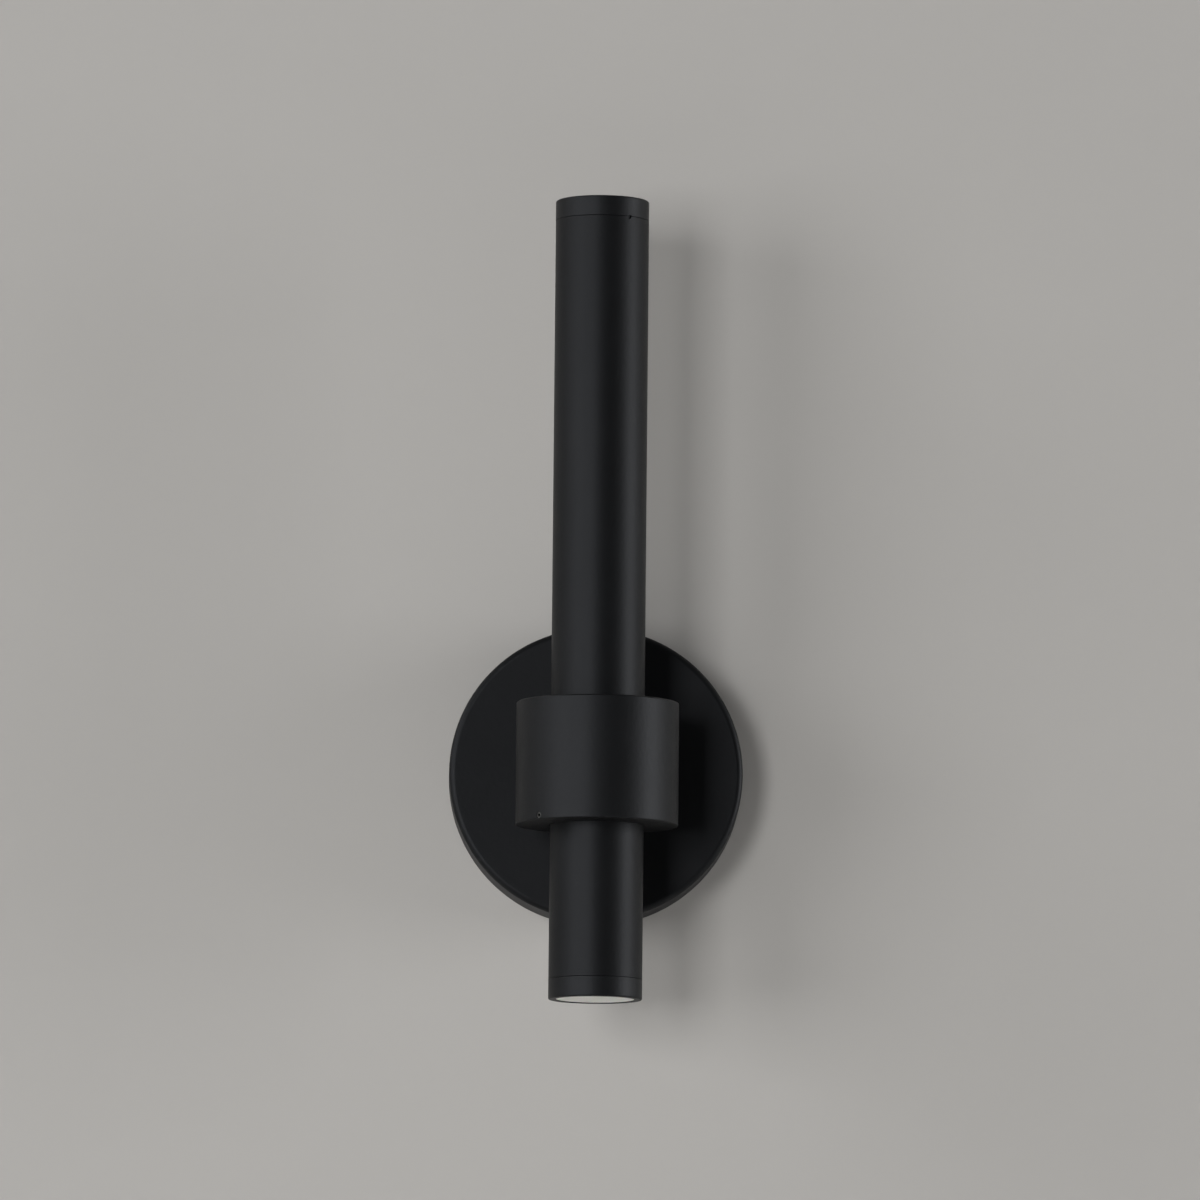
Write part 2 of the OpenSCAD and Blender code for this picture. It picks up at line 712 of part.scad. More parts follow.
// Rubber sleeve in the tube's hole, between the nipple and the inside
module tube_grommet() {
    sleeve_r = wire_hole_r - fit_clear;
    flange_t = 1.5;
    flange_over = 1.5;
    flange_r = sleeve_r + flange_over;
    lead_hole_r = input_lead_d / 2 + loose_clear;
    sleeve_end = tube_r + nipple_gap - loose_clear;
    color(rubber_black) on_axis() difference() {
        union() {
            intersection() {
                translate([0, tube_in_r - 2 * flange_t, 0]) rotate([-90, 0, 0])
                    cylinder(r = flange_r, h = 3 * flange_t);
                cylinder(r = tube_in_r - fit_clear, h = 3 * flange_r, center = true);
            }
            translate([0, tube_in_r - 2 * flange_t, 0]) rotate([-90, 0, 0])
                cylinder(r = sleeve_r, h = tube_r + fit_clear - tube_in_r + 2 * flange_t);
            translate([0, tube_in_r, 0]) rotate([-90, 0, 0])
                cylinder(r = min(sleeve_r, nipple_r - fit_clear), h = sleeve_end - tube_in_r);
        }
        rotate([-90, 0, 0]) cylinder(r = lead_hole_r, h = tube_r + collar_r);
    }
}

// Turns a shape from the front of the tube towards +X and moves it to the rim
module at_notch(turn) {
    rotate(turn) translate([0, -tube_r, 0]) children();
}

// Threaded ring that holds the lens on the end of the tube
module bezel(notch_turn) {
    lip_edge_r = 0.25;
    color(coat_black) difference() {
        rotate_extrude() difference() {
            turned_blank(tube_r, -bezel_h, 0, seam_edge_r, bezel_edge_r);
            translate([0, -bezel_h - past]) square([skirt_in_r, bezel_h + past - bezel_lip]);
            translate([0, -bezel_h]) square([window_r, bezel_h + past]);
            difference() {
                translate([0, -lip_edge_r]) square([window_r + lip_edge_r, lip_edge_r + past]);
                translate([window_r + lip_edge_r, -lip_edge_r]) circle(lip_edge_r);
            }
        }
        at_notch(notch_turn) translate([-notch_w / 2, -past, -bezel_h - past])
            cube([notch_w, notch_depth + past, notch_h + past]);
    }
}

// Frosted disc behind the ring's lip, whose raised middle fills the opening
module lens() {
    edge = 0.2;
    color(frosted) rotate_extrude() {
        turned_blank(lens_r, -lens_inner, -lens_outer, edge, edge);
        turned_blank(window_r - fit_clear, -lens_inner, -lens_sunk, edge, edge);
    }
}

// Flat ring between the lens and the end of the tube
module lens_gasket() {
    color(rubber_black) plain_ring(min(window_r, seat_r - loose_clear), lens_r, -spigot_end, -lens_inner);
}

// Bright cone that throws the light out of the tube
module reflector() {
    rim_r = seat_r - loose_clear;
    mouth_r = cup_mouth_d / 2;
    color(bright_cup) rotate_extrude() polygon([
        [mouth_r, -holder_top],
        [mouth_r + cup_wall, -holder_top],
        [rim_r, -cup_top - cup_rim_h - cup_wall],
        [rim_r, -cup_top],
        [rim_r - cup_wall, -cup_top],
        [rim_r - cup_wall, -cup_top - cup_rim_h]
    ]);
}

// Places a shape at each of the two screws of the clamping ring
module at_holder_screws() {
    for (turn = [0, 180]) rotate(turn) translate([0, holder_screw_ring, 0]) children();
}

// Ring that clamps the lamp board on the heat sink
module led_holder() {
    board_clear = 0.3;
    color(nylon_white) difference() {
        plain_ring(holder_window_d / 2, holder_r, -plate_top, -holder_top);
        translate([0, 0, -plate_top - past]) cylinder(r = board_r + board_clear, h = stack_t + past);
        at_holder_screws() translate([0, 0, -plate_top - past])
            cylinder(d = holder_screw_d + 2 * fit_clear, h = holder_h + 2 * past);
    }
}

// Two screws through the clamping ring into the heat sink
module led_screws() {
    color(zinc) at_holder_screws() translate([0, 0, -holder_top])
        pan_screw(holder_screw_d, holder_screw_l, holder_screw_head_d, holder_screw_head_h);
}

// Disc of the light source under its yellow layer
module led_emitter() {
    color(phosphor) translate([0, 0, -plate_top + stack_t]) cylinder(d = emitter_d, h = emitter_t);
}

// Round metal-core board of the light source
module led_board() {
    color(board_white) translate([0, 0, -plate_top + pad_t]) cylinder(r = board_r, h = board_t);
}

// Soft pad that carries the heat away from the board
module thermal_pad() {
    color(pad_grey) difference() {
        translate([0, 0, -plate_top]) cylinder(r = board_r, h = pad_t);
        lead_hole(-plate_top, pad_t);
    }
}

// Hole for the lamp leads through a layer that is t thick and starts at z
module lead_hole(z, t) {
    translate([lamp_lead_x, 0, z - past]) cylinder(r = lamp_lead_d / 2 + through_clear, h = t + 2 * past);
}

// Finned plug that rests on the step inside the tube
module heat_sink() {
    fin_r = tube_in_r - loose_clear;
    fin_step = 360 / fin_count;
    screw_depth = holder_screw_l - holder_h + past;
    color(raw_aluminium) difference() {
        union() {
            translate([0, 0, -seat_at]) cylinder(r = seat_r - fit_clear, h = sink_plate_t);
            translate([0, 0, -seat_at - fin_length]) cylinder(d = sink_core_d, h = fin_length + past);
            intersection() {
                for (i = [0:fin_count - 1]) rotate((i + 0.5) * fin_step)
                    translate([0, -fin_t / 2, -seat_at - fin_length])
                        cube([tube_r, fin_t, fin_length + past]);
                translate([0, 0, -seat_at - fin_length - past])
                    cylinder(r = fin_r, h = fin_length + 3 * past);
            }
        }
        lead_hole(-seat_at, sink_plate_t);
        at_holder_screws() translate([0, 0, -plate_top - screw_depth])
            cylinder(d = holder_screw_d + fit_clear, h = screw_depth + past);
    }
}

// Open metal trough of the driver
module driver_case() {
    color(case_grey) on_axis() translate([0, 0, driver_z]) difference() {
        translate([-driver_w / 2, -driver_d / 2, 0]) cube([driver_w, driver_d - driver_wall, driver_l]);
        translate([-driver_in_w / 2, -driver_d / 2 + driver_wall, driver_wall])
            cube([driver_in_w, driver_d, driver_l - 2 * driver_wall]);
    }
}

// Lid on the driver's trough
module driver_cover() {
    lid_y = driver_d / 2 - driver_wall;
    plug_w = driver_in_w - 2 * loose_clear;
    plug_l = driver_l - 2 * driver_wall - 2 * loose_clear;
    color(case_grey) on_axis() translate([0, 0, driver_z]) {
        translate([-driver_w / 2, lid_y, 0]) cube([driver_w, driver_wall, driver_l]);
        translate([-plug_w / 2, lid_y - lid_drop, driver_wall + loose_clear])
            cube([plug_w, lid_drop + driver_wall / 2, plug_l]);
    }
}

// Circuit board of the driver with its larger parts
module driver_board() {
    board_w = driver_in_w - 2 * loose_clear;
    board_l = driver_l - 2 * driver_wall - 2 * loose_clear;
    floor_y = -driver_d / 2 + driver_wall;
    part_y = floor_y + pcb_gap + pcb_t;
    part_h = driver_d / 2 - driver_wall - lid_drop - loose_clear - part_y;
    foot_w = 2;
    coil_w = 14;
    coil_l = 20;
    filter_w = 12;
    filter_l = 10;
    filter_h = 5;
    big_can_d = 9;
    small_can_d = 6;
    small_can_h = 6;
    part_gap = 7;
    coil_z = part_gap + filter_l + part_gap;
    big_can_z = coil_z + coil_l + part_gap + big_can_d / 2;
    sunk = pcb_t / 2;
    color(board_green) on_axis() translate([0, 0, driver_z + driver_wall + loose_clear]) {
        translate([-board_w / 2, floor_y + pcb_gap, 0]) cube([board_w, pcb_t, board_l]);
        for (z = [0, board_l - foot_w]) translate([-board_w / 2, floor_y, z])
            cube([board_w, pcb_gap + sunk, foot_w]);
        translate([-filter_w / 2, part_y - sunk, part_gap]) cube([filter_w, filter_h + sunk, filter_l]);
        translate([-coil_w / 2, part_y - sunk, coil_z]) cube([coil_w, part_h + sunk, coil_l]);
        translate([0, part_y - sunk, big_can_z]) rotate([-90, 0, 0])
            cylinder(d = big_can_d, h = part_h + sunk);
        translate([0, part_y - sunk, board_l - part_gap]) rotate([-90, 0, 0])
            cylinder(d = small_can_d, h = small_can_h + sunk);
    }
}

// Two plastic rings that centre the driver in the tube
module driver_rings() {
    color(nylon_white) on_axis() for (z = [driver_z + ring_inset, driver_top_z - ring_inset - ring_t])
        translate([0, 0, z]) difference() {
            cylinder(r = tube_in_r - fit_clear, h = ring_t);
            translate([-driver_w / 2 - fit_clear, -driver_d / 2 - fit_clear, -past])
                cube([driver_w + 2 * fit_clear, driver_d + 2 * fit_clear, ring_t + 2 * past]);
        }
}

// Sleeved leads from the terminal block through the nipple to the driver
module input_leads() {
    bend = 6;
    stub = 1.5;
    corner = bend * (1 - cos(45));
    mouth = -nipple_back + bushing_flange;
    turn_y = axis_y + tube_in_r - 2 * bend;
    color(lead_white) lead([
        [block_x, -pole_z, 0],
        [block_x - stub, -pole_z, 0],
        [2 * bend, mouth + bend * 2 / 3, 0],
        [bend, mouth + bend, 0],
        [corner, mouth + bend - corner, 0],
        [0, mouth, 0],
        [0, mouth - bend, 0],
        [0, axis_y + collar_r, 0],
        [0, axis_y + tube_r, 0],
        [0, turn_y + bend, 0],
        [0, turn_y + corner, corner],
        [0, turn_y, bend],
        [0, (turn_y + axis_y) / 2, driver_z / 2],
        [0, axis_y, driver_z - bend],
        [0, axis_y, driver_z - stub],
        [0, axis_y, driver_z]
    ], input_lead_d, [0, 0, 1]);
}

// Sleeved leads from the driver to the upper lamp board
module upper_leads() {
    slack = 6;
    stub = 1;
    board_z = upper_reach - plate_top + pad_t;
    color(lead_red) lead([
        [lamp_lead_x / 2, axis_y, driver_top_z],
        [lamp_lead_x / 2, axis_y, driver_top_z + stub],
        [lamp_lead_x * 3 / 4, axis_y, driver_top_z + slack / 2],
        [lamp_lead_x, axis_y, driver_top_z + slack],
        [lamp_lead_x, axis_y, board_z - stub],
        [lamp_lead_x, axis_y, board_z]
    ], lamp_lead_d, [0, 1, 0]);
}

// Sleeved leads from the driver down to the lower lamp board
module lower_leads() {
    slack = 12;
    stub = 1;
    board_z = -lower_reach + plate_top - pad_t;
    color(lead_red) lead([
        [lamp_lead_x * 2 / 3, axis_y, driver_z],
        [lamp_lead_x * 2 / 3, axis_y, driver_z - stub],
        [lamp_lead_x * 2 / 3, axis_y, driver_z - slack],
        [lamp_lead_x, axis_y, driver_z - 2 * slack],
        [lamp_lead_x, axis_y, 0],
        [lamp_lead_x, axis_y, board_z + stub],
        [lamp_lead_x, axis_y, board_z]
    ], lamp_lead_d, [0, 1, 0]);
}

canopy();
wall_gasket();
crossbar();
ground_screw();
canopy_side_screws();
stem_gasket();
nipple();
nipple_washer();
nipple_nut();
nipple_bushing();
steady_screw();
terminal_block();
terminal_screws();
collar();
tube_lock_screws();
tube();
tube_grommet();
driver_case();
driver_cover();
driver_board();
driver_rings();
input_leads();
upper_leads();
lower_leads();
at_end(true) bezel(upper_notch_turn);  // upper_bezel
at_end(true) lens();  // upper_lens
at_end(true) lens_gasket();  // upper_lens_gasket
at_end(true) reflector();  // upper_reflector
at_end(true) led_holder();  // upper_led_holder
at_end(true) led_screws();  // upper_led_screws
at_end(true) led_emitter();  // upper_led_emitter
at_end(true) led_board();  // upper_led_board
at_end(true) thermal_pad();  // upper_thermal_pad
at_end(true) heat_sink();  // upper_heat_sink
at_end(false) bezel(lower_notch_turn);  // lower_bezel
at_end(false) lens();  // lower_lens
at_end(false) lens_gasket();  // lower_lens_gasket
at_end(false) reflector();  // lower_reflector
at_end(false) led_holder();  // lower_led_holder
at_end(false) led_screws();  // lower_led_screws
at_end(false) led_emitter();  // lower_led_emitter
at_end(false) led_board();  // lower_led_board
at_end(false) thermal_pad();  // lower_thermal_pad
at_end(false) heat_sink();  // lower_heat_sink
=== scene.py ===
"""Looks of the outdoor wall sconce: finishes, thread pieces, wall, lamps and camera."""

import logging
import math
from dataclasses import dataclass, field
from enum import Enum

import bmesh
import bpy
from mathutils import Matrix, Vector


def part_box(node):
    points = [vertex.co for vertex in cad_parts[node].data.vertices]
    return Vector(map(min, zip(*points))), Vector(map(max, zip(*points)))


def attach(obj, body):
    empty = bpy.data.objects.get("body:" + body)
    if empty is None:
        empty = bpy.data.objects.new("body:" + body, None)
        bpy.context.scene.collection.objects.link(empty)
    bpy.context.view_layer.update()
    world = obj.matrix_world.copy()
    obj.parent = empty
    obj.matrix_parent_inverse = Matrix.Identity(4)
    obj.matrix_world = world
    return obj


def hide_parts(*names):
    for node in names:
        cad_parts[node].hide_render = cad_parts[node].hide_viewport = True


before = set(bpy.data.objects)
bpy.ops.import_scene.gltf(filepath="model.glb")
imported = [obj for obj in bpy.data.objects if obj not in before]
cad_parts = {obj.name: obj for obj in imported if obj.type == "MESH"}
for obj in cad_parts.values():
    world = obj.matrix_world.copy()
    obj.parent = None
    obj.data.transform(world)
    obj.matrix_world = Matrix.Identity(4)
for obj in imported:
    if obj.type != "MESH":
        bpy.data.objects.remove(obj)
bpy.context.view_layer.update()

LOG = logging.getLogger("sconce")
MM = 0.001
BODY = "body"

# Nearly all of a noise lies between the first two values, and its middle between the second two.
NOISE_REACH = (0.3, 0.7)
TINT_REACH = (0.35, 0.65)
# Places of the vector sockets of Blender's Mix node.
MIX_FIRST, MIX_SECOND, MIX_RESULT = 4, 5, 1
# How far inside its radius a turned wall still counts, and how far off upright it may lean.
WALL_SLACK = 0.05 * MM
WALL_LEAN = 0.02
# Corners nearer than this are merged.
MERGE = 0.001 * MM


class End(Enum):
    """The two ends of the tube, named as their nodes start."""

    UPPER = "upper"
    LOWER = "lower"


def shade(colour: tuple, factor: float) -> tuple:
    """A colour made darker or lighter."""
    return tuple(min(channel * factor, 1.0) for channel in colour)


def towards(azimuth: float, elevation: float) -> Vector:
    """The direction of a lamp or a camera, seen from the light.

    Args:
        azimuth: Degrees to the right of the front.
        elevation: Degrees above the level.

    Returns:
        A vector of length one.
    """
    turn, rise = math.radians(azimuth), math.radians(elevation)
    level = math.cos(rise)
    return Vector((math.sin(turn) * level, -math.cos(turn) * level, math.sin(rise)))


class NodeSheet:
    """The node tree of one new material, filled with short calls."""

    def __init__(self, name: str) -> None:
        """Starts a tree whose Principled surface is already joined to the output.

        Args:
            name: The material's name.
        """
        self.material = bpy.data.materials.new(name)
        self.material.use_nodes = True
        self.tree = self.material.node_tree
        self.tree.nodes.clear()
        self.output = self.add("ShaderNodeOutputMaterial")
        self.surface = self.add("ShaderNodeBsdfPrincipled")
        self.join(self.surface, "BSDF", self.output, "Surface")
        self.place = self.add("ShaderNodeTexCoord")

    def add(self, kind: str, values: dict | None = None, **settings: object) -> bpy.types.Node:
        """Adds a node.

        Args:
            kind: The node's type name.
            values: Input socket name or number, and the value that it gets.
            settings: The node's own properties.

        Returns:
            The new node.
        """
        node = self.tree.nodes.new(kind)
        for key, value in settings.items():
            setattr(node, key, value)
        for key, value in (values or {}).items():
            node.inputs[key].default_value = value
        return node

    def join(self, source: bpy.types.Node, out: str | int,
             target: bpy.types.Node, into: str | int) -> None:
        """Links an output to an input."""
        self.tree.links.new(source.outputs[out], target.inputs[into])

    def stretched(self, scale: tuple[float, float, float]) -> bpy.types.Node:
        """Object coordinates multiplied along each axis.

        Args:
            scale: The factors along X, Y and Z.

        Returns:
            The Mapping node.
        """
        mapping = self.add("ShaderNodeMapping", {"Scale": scale})
        self.join(self.place, "Object", mapping, "Vector")
        return mapping

    def noise(self, size: float, detail: float = 2.0,
              source: bpy.types.Node | None = None) -> bpy.types.Node:
        """A noise on Object coordinates.

        Args:
            size: The size of its lumps in metres.
            detail: How many finer layers it has.
            source: A Mapping node, if the coordinates are stretched.

        Returns:
            The noise node.
        """
        node = self.add("ShaderNodeTexNoise", {"Scale": 1.0 / size, "Detail": detail})
        if source:
            self.join(source, "Vector", node, "Vector")
        else:
            self.join(self.place, "Object", node, "Vector")
        return node

    def wear(self, source: bpy.types.Node, roughness: float, change: tuple[float, float]) -> None:
        """Varies the surface's roughness by a noise.

        Args:
            source: The noise node.
            roughness: The roughness in the mean.
            change: What is added where the noise is low and where it is high.
        """
        node = self.add("ShaderNodeMapRange", {
            "From Min": NOISE_REACH[0], "From Max": NOISE_REACH[1],
            "To Min": roughness + change[0], "To Max": roughness + change[1],
        })
        self.join(source, "Fac", node, "Value")
        self.join(node, "Result", self.surface, "Roughness")

    def tint(self, source: bpy.types.Node, colour: tuple, shades: tuple[float, float],
             out: str = "Fac", reach: tuple[float, float] = TINT_REACH) -> None:
        """Colours the surface between two shades of one colour.

        Args:
            source: The node that gives the pattern.
            colour: The colour in the mean.
            shades: The factors where the pattern is low and where it is high.
            out: The pattern's output.
            reach: The pattern's values at which the two shades are full.
        """
        ramp = self.add("ShaderNodeValToRGB")
        for element, position, factor in zip(ramp.color_ramp.elements, reach, shades):
            element.position = position
            element.color = (*shade(colour, factor), 1.0)
        self.join(source, out, ramp, "Fac")
        self.join(ramp, "Color", self.surface, "Base Color")

    def bump(self, source: bpy.types.Node, out: str, depth: float,
             under: bpy.types.Node | None = None,
             under_out: str | int = "Normal") -> bpy.types.Node:
        """Adds relief to the surface.

        Args:
            source: The node that gives the height.
            out: Its output.
            depth: The height in metres between its values 0 and 1.
            under: An earlier node whose normal this one lies on.
            under_out: The output that holds that normal.

        Returns:
            The Bump node.
        """
        node = self.add("ShaderNodeBump", {"Strength": 1.0, "Distance": depth})
        self.join(source, out, node, "Height")
        if under:
            self.join(under, under_out, node, "Normal")
        self.join(node, "Normal", self.surface, "Normal")
        return node

    def calculate(self, operation: str, source: bpy.types.Node, out: str | int,
                  second: float) -> bpy.types.Node:
        """Puts a number through a sum or a test.

        Args:
            operation: The kind of sum.
            source: The node that gives the number.
            out: Its output.
            second: The other number.

        Returns:
            The Math node.
        """
        node = self.add("ShaderNodeMath", {1: second}, operation=operation)
        self.join(source, out, node, 0)
        return node

    def turned_normal(self, axis_y: float, radius: float) -> bpy.types.Node:
        """The true normal of an upright turned wall, which the mesh's own normals only come near.

        Args:
            axis_y: Where the wall's axis lies in depth.
            radius: The wall's outer radius.

        Returns:
            A Mix node: the turned normal on the wall, and the mesh's own elsewhere.
        """
        from_axis = self.add("ShaderNodeVectorMath", {1: (0.0, -axis_y, 0.0)}, operation="ADD")
        self.join(self.place, "Object", from_axis, 0)
        level = self.add("ShaderNodeVectorMath", {1: (1.0, 1.0, 0.0)}, operation="MULTIPLY")
        self.join(from_axis, "Vector", level, 0)
        reach = self.add("ShaderNodeVectorMath", operation="LENGTH")
        self.join(level, "Vector", reach, 0)
        on_wall = self.calculate("GREATER_THAN", reach, "Value", radius - WALL_SLACK)
        mesh_side = self.add("ShaderNodeNewGeometry")
        split = self.add("ShaderNodeSeparateXYZ")
        self.join(mesh_side, "Normal", split, "Vector")
        lean = self.calculate("ABSOLUTE", split, "Z", 0.0)
        upright = self.calculate("LESS_THAN", lean, "Value", WALL_LEAN)
        both = self.add("ShaderNodeMath", operation="MULTIPLY")
        self.join(on_wall, "Value", both, 0)
        self.join(upright, "Value", both, 1)
        outwards = self.add("ShaderNodeVectorTransform", vector_type="NORMAL",
                            convert_from="OBJECT", convert_to="WORLD")
        self.join(level, "Vector", outwards, "Vector")
        mix = self.add("ShaderNodeMix", data_type="VECTOR")
        self.join(both, "Value", mix, "Factor")
        self.join(mesh_side, "Normal", mix, MIX_FIRST)
        self.join(outwards, "Vector", mix, MIX_SECOND)
        return mix

    def plain(self, **values: float | tuple) -> None:
        """Sets surface inputs that are the same all over. An underscore stands for a space."""
        for key, value in values.items():
            self.surface.inputs[key.replace("_", " ")].default_value = value


# Finishes of the light and of the set. The shades are factors on the colour, the wear is added
# to the roughness, and each pair is for where the pattern is low and where it is high.


@dataclass(frozen=True)
class PowderCoat:
    """Fine satin powder coat: a deep black body, a cool gloss, a soft grain and a faint peel.

    A turned radius other than zero is that of an upright wall round the tube's axis.
    """

    name: str = "satin_black_coat"
    colour: tuple = (0.0028, 0.0030, 0.0033)
    shades: tuple = (0.88, 1.14)
    cloud: float = 14 * MM
    roughness: float = 0.50
    wear: tuple = (-0.05, 0.05)
    gloss: float = 0.235
    gloss_tint: tuple = (0.900, 0.935, 1.0, 1.0)
    grain: float = 0.32 * MM
    grain_depth: float = 0.012 * MM
    peel: float = 1.5 * MM
    peel_depth: float = 0.040 * MM
    axis_y: float = -62.5 * MM
    turned_radius: float = 0.0

    def make(self) -> bpy.types.Material:
        """Makes the material."""
        sheet = NodeSheet(self.name)
        sheet.tint(sheet.noise(self.cloud, detail=3.0), self.colour, self.shades)
        peel = sheet.noise(self.peel, detail=1.0)
        grain = sheet.noise(self.grain, detail=2.0)
        sheet.wear(grain, self.roughness, self.wear)
        wall = sheet.turned_normal(self.axis_y, self.turned_radius) if self.turned_radius else None
        under = sheet.bump(peel, "Fac", self.peel_depth, wall, MIX_RESULT)
        sheet.bump(grain, "Fac", self.grain_depth, under)
        sheet.plain(Specular_IOR_Level=self.gloss, Specular_Tint=self.gloss_tint)
        return sheet.material


@dataclass(frozen=True)
class Rubber:
    """Matte moulded rubber with a fine bloom."""

    name: str = "black_rubber"
    colour: tuple = (0.014, 0.014, 0.014)
    shades: tuple = (1.0, 1.7)
    bloom: float = 4 * MM
    roughness: float = 0.72
    wear: tuple = (-0.08, 0.12)
    grain: float = 0.3 * MM
    depth: float = 0.015 * MM

    def make(self) -> bpy.types.Material:
        """Makes the material."""
        sheet = NodeSheet(self.name)
        bloom = sheet.noise(self.bloom, detail=4.0)
        sheet.tint(bloom, self.colour, self.shades)
        sheet.wear(bloom, self.roughness, self.wear)
        sheet.bump(sheet.noise(self.grain, detail=3.0), "Fac", self.depth)
        return sheet.material


@dataclass(frozen=True)
class PlatedSteel:
    """Steel with a thin plating: cloudy gloss and fine rubbing marks."""

    name: str
    colour: tuple
    roughness: float
    shades: tuple = (0.92, 1.04)
    cloud: float = 2.5 * MM
    wear: tuple = (-0.05, 0.06)
    marks: float = 0.5 * MM
    marks_stretch: tuple = (1.0, 6.0, 0.08)
    depth: float = 0.006 * MM

    def make(self) -> bpy.types.Material:
        """Makes the material."""
        sheet = NodeSheet(self.name)
        cloud = sheet.noise(self.cloud, detail=5.0)
        sheet.tint(cloud, self.colour, self.shades)
        sheet.wear(cloud, self.roughness, self.wear)
        marks = sheet.noise(self.marks, detail=3.0, source=sheet.stretched(self.marks_stretch))
        sheet.bump(marks, "Fac", self.depth)
        sheet.plain(Metallic=1.0)
        return sheet.material


@dataclass(frozen=True)
class TurnedBrass:
    """Plain brass with the rings that a lathe leaves."""

    name: str = "turned_brass"
    colour: tuple = (0.62, 0.43, 0.16)
    shades: tuple = (0.72, 1.1)
    tarnish: float = 1.8 * MM
    roughness: float = 0.27
    wear: tuple = (-0.06, 0.14)
    rings: float = 0.25 * MM
    rings_stretch: tuple = (0.1, 1.0, 0.1)
    depth: float = 0.008 * MM

    def make(self) -> bpy.types.Material:
        """Makes the material."""
        sheet = NodeSheet(self.name)
        tarnish = sheet.noise(self.tarnish, detail=4.0)
        sheet.tint(tarnish, self.colour, self.shades)
        sheet.wear(tarnish, self.roughness, self.wear)
        rings = sheet.noise(self.rings, detail=2.0, source=sheet.stretched(self.rings_stretch))
        sheet.bump(rings, "Fac", self.depth)
        sheet.plain(Metallic=1.0)
        return sheet.material


@dataclass(frozen=True)
class Moulding:
    """Moulded plastic with a soft sheen and a slight unevenness."""

    name: str
    colour: tuple
    roughness: float
    unevenness: float = 0.055
    cloud: float = 5 * MM
    wear: tuple = (-0.06, 0.08)
    grain: float = 0.35 * MM
    depth: float = 0.012 * MM
    inner_glow: float = 0.0
    glow_reach: float = 1.2 * MM

    def make(self) -> bpy.types.Material:
        """Makes the material."""
        sheet = NodeSheet(self.name)
        shades = (1 - self.unevenness, 1 + self.unevenness)
        sheet.tint(sheet.noise(self.cloud, detail=3.0), self.colour, shades)
        grain = sheet.noise(self.grain, detail=3.0)
        sheet.wear(grain, self.roughness, self.wear)
        sheet.bump(grain, "Fac", self.depth)
        if self.inner_glow:
            sheet.plain(Subsurface_Weight=self.inner_glow, Subsurface_Scale=self.glow_reach)
        return sheet.material


@dataclass(frozen=True)
class Aluminium:
    """Bare aluminium: drawn lines along Z, or the fine rings of a spun cup."""

    name: str
    colour: tuple
    roughness: float
    lines_stretch: tuple = (1.0, 1.0, 0.04)
    shades: tuple = (0.88, 1.06)
    cloud: float = 3 * MM
    wear: tuple = (-0.06, 0.10)
    lines: float = 0.3 * MM
    depth: float = 0.010 * MM

    def make(self) -> bpy.types.Material:
        """Makes the material."""
        sheet = NodeSheet(self.name)
        sheet.tint(sheet.noise(self.cloud, detail=3.0), self.colour, self.shades)
        lines = sheet.noise(self.lines, detail=3.0, source=sheet.stretched(self.lines_stretch))
        sheet.wear(lines, self.roughness, self.wear)
        sheet.bump(lines, "Fac", self.depth)
        sheet.plain(Metallic=1.0)
        return sheet.material


@dataclass(frozen=True)
class BraidedSleeve:
    """Glass-fibre sleeving: strands that cross round the lead, with painted shade between them."""

    name: str
    colour: tuple
    strands: int = 8
    lay: float = 3.2 * MM
    depth: float = 0.12 * MM
    # Painted shade in the strands' hollows and painted light on their crowns.
    shades: tuple = (0.55, 1.12)
    roughness: float = 0.62
    wear: tuple = (-0.08, 0.12)
    fluff: float = 0.5 * MM

    def make(self) -> bpy.types.Material:
        """Makes the material. It reads the piece's UV map: once round, and metres along."""
        sheet = NodeSheet(self.name)
        scale = (math.tau * self.strands, math.tau / self.lay, 1.0)
        place = sheet.add("ShaderNodeMapping", {"Scale": scale})
        sheet.join(sheet.place, "UV", place, "Vector")
        split = sheet.add("ShaderNodeSeparateXYZ")
        sheet.join(place, "Vector", split, "Vector")
        crossing = sheet.add("ShaderNodeMath", operation="MAXIMUM")
        for number, way in enumerate(("ADD", "SUBTRACT")):
            phase = sheet.add("ShaderNodeMath", operation=way)
            sheet.join(split, "X", phase, 0)
            sheet.join(split, "Y", phase, 1)
            strand = sheet.add("ShaderNodeMath", operation="SINE")
            sheet.join(phase, "Value", strand, 0)
            sheet.join(strand, "Value", crossing, number)
        level = sheet.add("ShaderNodeMapRange", {"From Min": -1.0, "From Max": 1.0})
        sheet.join(crossing, "Value", level, "Value")
        # Painted shade and light: the hollows between strands are coloured darker, their crowns
        # lighter.
        sheet.tint(level, self.colour, self.shades, "Result", (0.0, 1.0))
        sheet.wear(sheet.noise(self.fluff, detail=3.0), self.roughness, self.wear)
        sheet.bump(level, "Result", self.depth)
        return sheet.material


@dataclass(frozen=True)
class WallPaint:
    """Matte paint of a wall or floor that only shows from its front."""

    name: str
    colour: tuple
    shades: tuple = (0.985, 1.015)
    cloud: float = 600 * MM
    roughness: float = 0.9
    grain: float = 4 * MM
    depth: float = 0.03 * MM

    def make(self) -> bpy.types.Material:
        """Makes the material."""
        sheet = NodeSheet(self.name)
        sheet.tint(sheet.noise(self.cloud, detail=2.0), self.colour, self.shades)
        sheet.bump(sheet.noise(self.grain, detail=4.0), "Fac", self.depth)
        sheet.plain(Roughness=self.roughness)
        side = sheet.add("ShaderNodeNewGeometry")
        clear = sheet.add("ShaderNodeBsdfTransparent")
        mix = sheet.add("ShaderNodeMixShader")
        sheet.join(side, "Backfacing", mix, "Fac")
        sheet.join(sheet.surface, "BSDF", mix, 1)
        sheet.join(clear, "BSDF", mix, 2)
        sheet.join(mix, "Shader", sheet.output, "Surface")
        return sheet.material


